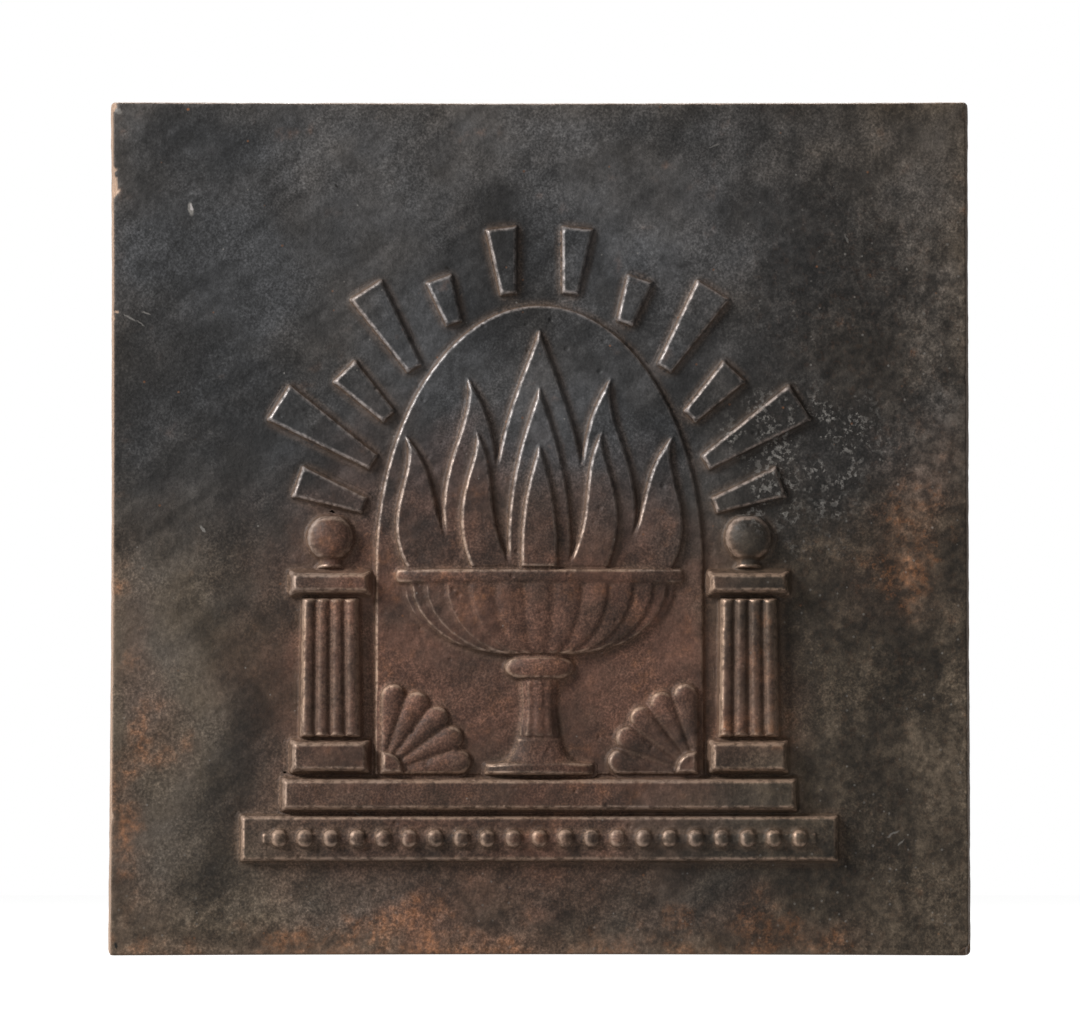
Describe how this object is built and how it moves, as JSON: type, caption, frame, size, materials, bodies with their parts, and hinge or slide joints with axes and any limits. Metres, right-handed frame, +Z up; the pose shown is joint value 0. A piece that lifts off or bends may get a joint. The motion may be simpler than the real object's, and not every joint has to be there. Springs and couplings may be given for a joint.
{
  "type": "fireback",
  "caption": "Cast-iron fireback: a square plate with a relief of a flaming brazier in an arched niche, between pylons on a stepped hearth, under sun rays.",
  "frame": {"origin": "on the ground, at mid-width and mid-depth, under the foot of the plate", "axes": "+X across the plate, +Z up, +Y out of the flat back; the relief faces -Y"},
  "size_m": [0.6, 0.038, 0.596],
  "materials": {
    "plate_iron": "sand-cast, sooted, with patches of thin rust",
    "relief_iron": "sand-cast, browned by fire and rust, worn to bare iron on its arrises"
  },
  "bodies": {
    "root": {"back_plate": "plate_iron", "hearth_lower_step": "relief_iron", "hearth_upper_step": "relief_iron", "bead_string": "relief_iron", "arched_ground": "relief_iron", "pedestal_foot": "relief_iron", "pedestal_stem": "relief_iron", "pedestal_knop": "relief_iron", "brazier_bowl": "relief_iron", "brazier_rim": "relief_iron", "flame_outer": "relief_iron", "flame_middle": "relief_iron", "flame_inner": "relief_iron", "left_pylon_base": "relief_iron", "left_pylon_shaft": "relief_iron", "left_pylon_cap": "relief_iron", "left_pylon_finial": "relief_iron", "left_fan": "relief_iron", "left_ray_1": "relief_iron", "left_ray_2": "relief_iron", "left_ray_3": "relief_iron", "left_ray_4": "relief_iron", "left_ray_5": "relief_iron", "left_ray_6": "relief_iron", "right_pylon_base": "relief_iron", "right_pylon_shaft": "relief_iron", "right_pylon_cap": "relief_iron", "right_pylon_finial": "relief_iron", "right_fan": "relief_iron", "right_ray_1": "relief_iron", "right_ray_2": "relief_iron", "right_ray_3": "relief_iron", "right_ray_4": "relief_iron", "right_ray_5": "relief_iron", "right_ray_6": "relief_iron"}
  },
  "joints": []
}
